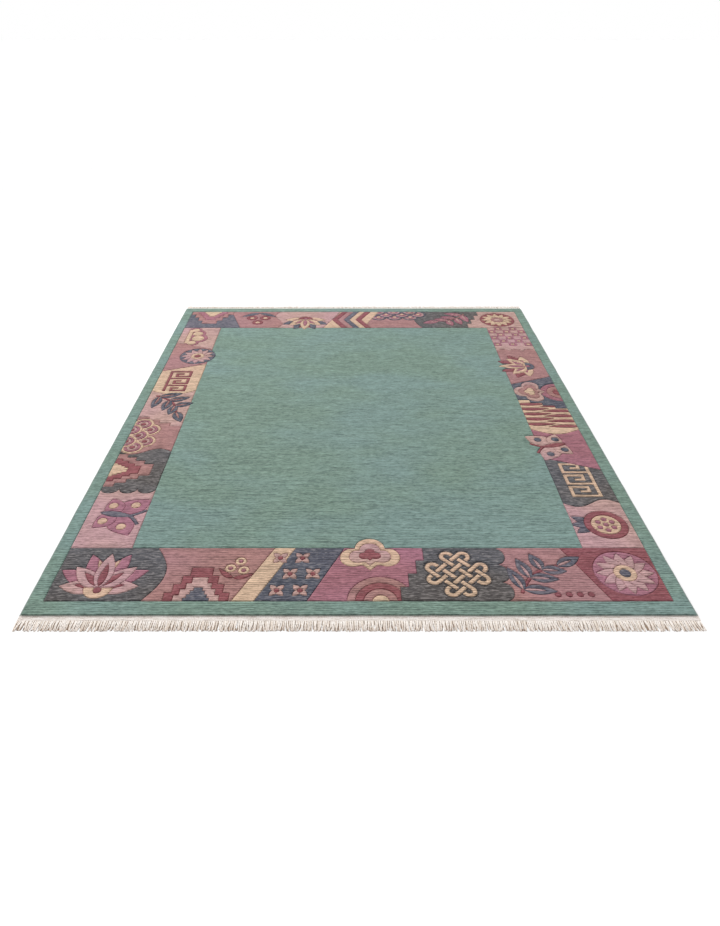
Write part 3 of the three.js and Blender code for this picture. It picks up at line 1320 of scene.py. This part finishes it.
class RUG_OT_kilim(Operator):
    """Weave the plain heading at both ends"""
    bl_idname = "rug.kilim"
    bl_label = "Kilim ends"

    def execute(self, context):
        warp = context.scene.rug_sizes.warp_pitch / MM
        cotton = kilim_cotton()
        for end in ("near", "far"):
            node = "kilim_" + end
            low, high = node_box(node)
            columns = 2 * round((high.x - low.x) / warp)
            rows = 2 * KILIM_ROWS
            bm = bmesh.new()
            bmesh.ops.create_grid(bm, x_segments=columns, y_segments=rows, size=0.5)
            for vert in bm.verts:
                column = round((vert.co.x + 0.5) * columns)
                row = round((vert.co.y + 0.5) * rows)
                x = low.x + (vert.co.x + 0.5) * (high.x - low.x)
                y = low.y + (vert.co.y + 0.5) * (high.y - low.y)
                over = math.cos(math.pi * (column + row // 2)) if row % 2 else -0.9
                lift = 0.25 * noise.noise(Vector((x / 18, y / 6, 2.2)))
                # The first row climbs a little against the pile
                climb, reach = 2.6, 3.5
                lift += climb * math.exp((RUG_HALF_LENGTH - abs(y)) / reach)
                x, y = wandering(x, y)
                vert.co = Vector((x, y, high.z + 0.9 + 0.85 * over + lift)) * MM
            close_below(bm, LOWEST * MM)
            piece_object("kilim_weave_" + end, bm, [cotton], "cotton_kilim", node)
        return {"FINISHED"}


class RUG_OT_fringe(Operator):
    """Leave the warp ends loose beyond the kilim"""
    bl_idname = "rug.fringe"
    bl_label = "Fringe"

    def execute(self, context):
        sizes = context.scene.rug_sizes
        radius, count = sizes.strand_radius / MM, sizes.strand_count
        # Pale and cream cotton for the bunches in the light; the darker tan is painted shade, for the bunches
        # that lie in the gaps between them
        cottons = [warp_cotton("plied_cotton_pale", "#fbf6f1", "#e3d8ce"),
                   warp_cotton("plied_cotton_cream", "#f3eae1", "#d2c4b7"),
                   warp_cotton("plied_cotton_tan", "#b09c8a", "#7d6b5b")]
        cord, hair = unit_tube(12, 6), unit_tube(3, 3)
        for end, way, seed in (("near", -1, 5), ("far", 1, 6)):
            rng = random.Random(seed)
            node = "fringe_" + end
            low, high = node_box(node)
            # The ends start a little inside the kilim
            tuck = 2
            root = (high.y if way < 0 else low.y) - way * tuck
            reach = high.y - low.y + tuck
            pitch = (high.x - low.x) / count
            bm = bmesh.new()
            for i in range(count):
                # A bunch in the shade of its neighbours lies between two in the light, and takes the tan
                # cotton of painted shade
                for lit in (False, True):
                    x = low.x + (i + (0.5 if lit else 1.0)) * pitch + rng.gauss(0, 0.9)
                    if x + radius < high.x:
                        bunch, strays, cotton = warp_end(rng, x, root, way, reach, radius, seed, lit)
                        first = len(bm.faces)
                        grown(bm, cord, bunch)
                        for stray in strays:
                            grown(bm, hair, stray)
                        bm.faces.ensure_lookup_table()
                        for face in bm.faces[first:]:
                            face.material_index = cotton
            piece_object("warp_ends_" + end, bm, cottons, "cotton_fringe", node)
        return {"FINISHED"}


def warp_end(rng, start_x, start_y, way, reach, radius, seed, lit):
    """One bunch of warp ends, limp cotton that settles on the floor, with its strays and its cotton: pale or
    cream in the light, the tan of painted shade in the shade.
    """
    length = reach * min(1.0, rng.gauss(0.96 if lit else 0.9, 0.04))
    clump = noise.noise(Vector((start_x / 26, seed, 0)))
    lean = 6 * clump + rng.gauss(0, 3.4)
    # The outermost ends stay within the rug's width
    lean = max(-1.0 - (start_x + RUG_HALF_WIDTH), min(lean, 1.0 + RUG_HALF_WIDTH - start_x))
    curl, phase = rng.gauss(0, 1.4), rng.uniform(0, math.tau)
    hump = max(0.0, rng.gauss(0.7, 0.6)) if lit else 0.0
    wide = radius * rng.uniform(0.82, 1.1)
    tall = 1.5 if lit else 0.8
    lay = rng.uniform(0, math.tau)

    def spine(t):
        x = start_x + lean * t * t + curl * math.sin(math.pi * 1.5 * t + phase) * t
        settle = min(1.0, t / 0.35)
        z = 1.5 * (1 - settle) + tall * settle + hump * math.sin(math.pi * t) ** 2
        return Vector((x, start_y + way * length * t, z))

    def laid(place):
        """A place in metres, no lower than the floor."""
        return Vector((place.x, place.y, max(place.z, LOWEST))) * MM

    def bunch(point):
        """The plies turn about each other, so that the cord's broad side goes round it."""
        t = point.z
        turn = math.atan2(point.y, point.x) if point.xy.length else 0.0
        broad = 1 + 0.22 * math.cos(2 * (turn - lay) - 20 * t)
        taper = 1.2 - 0.42 * t
        return laid(spine(t) + Vector((wide * math.cos(turn), 0, tall * math.sin(turn))) * broad * taper)

    def stray(tip, out):
        """A single ply that has left the bunch."""
        def place(point):
            thin = 0.9 * (1 - 0.6 * point.z)
            return laid(tip + out * point.z + Vector((thin * point.x, 0, thin * point.y)))
        return place

    strays = []
    for _ in range(2 if lit else 1):
        tip = spine(0.93) + Vector((rng.uniform(-0.6, 0.6) * wide, 0, 0))
        strays.append(stray(tip, Vector((rng.gauss(0, 2.2), way * rng.uniform(3, 7), 0.3))))
    # A bunch in the shade takes the tan cotton, which is painted shade
    return bunch, strays, rng.choice((0, 0, 1)) if lit else 2


class RUG_PT_sidebar(SidebarPanel):
    """The rug's settings and the steps that make it"""
    bl_label = "Tibetan rug"
    bl_space_type = "VIEW_3D"
    bl_region_type = "UI"
    bl_category = "Rug"

    def draw(self, context):
        for settings in (context.scene.rug_sizes, context.scene.rug_dyes):
            for name in type(settings).__annotations__:
                self.layout.prop(settings, name)
        for step in STEPS:
            self.layout.operator(step.bl_idname)


STEPS = (
    RUG_OT_stage, RUG_OT_pile, RUG_OT_overcasting, RUG_OT_kilim, RUG_OT_fringe, RUG_OT_foundation,
)
CLASSES = (RugDyes, RugSizes, *STEPS, RUG_PT_sidebar)


def register():
    for cls in CLASSES:
        bpy.utils.register_class(cls)
    bpy.types.Scene.rug_dyes = PointerProperty(type=RugDyes)
    bpy.types.Scene.rug_sizes = PointerProperty(type=RugSizes)


def unregister():
    del bpy.types.Scene.rug_sizes
    del bpy.types.Scene.rug_dyes
    for cls in reversed(CLASSES):
        bpy.utils.unregister_class(cls)


def main():
    register()
    bpy.ops.rug.stage()
    bpy.ops.rug.pile()
    bpy.ops.rug.overcasting()
    bpy.ops.rug.kilim()
    bpy.ops.rug.fringe()
    bpy.ops.rug.foundation()


if __name__ == "__main__":
    main()
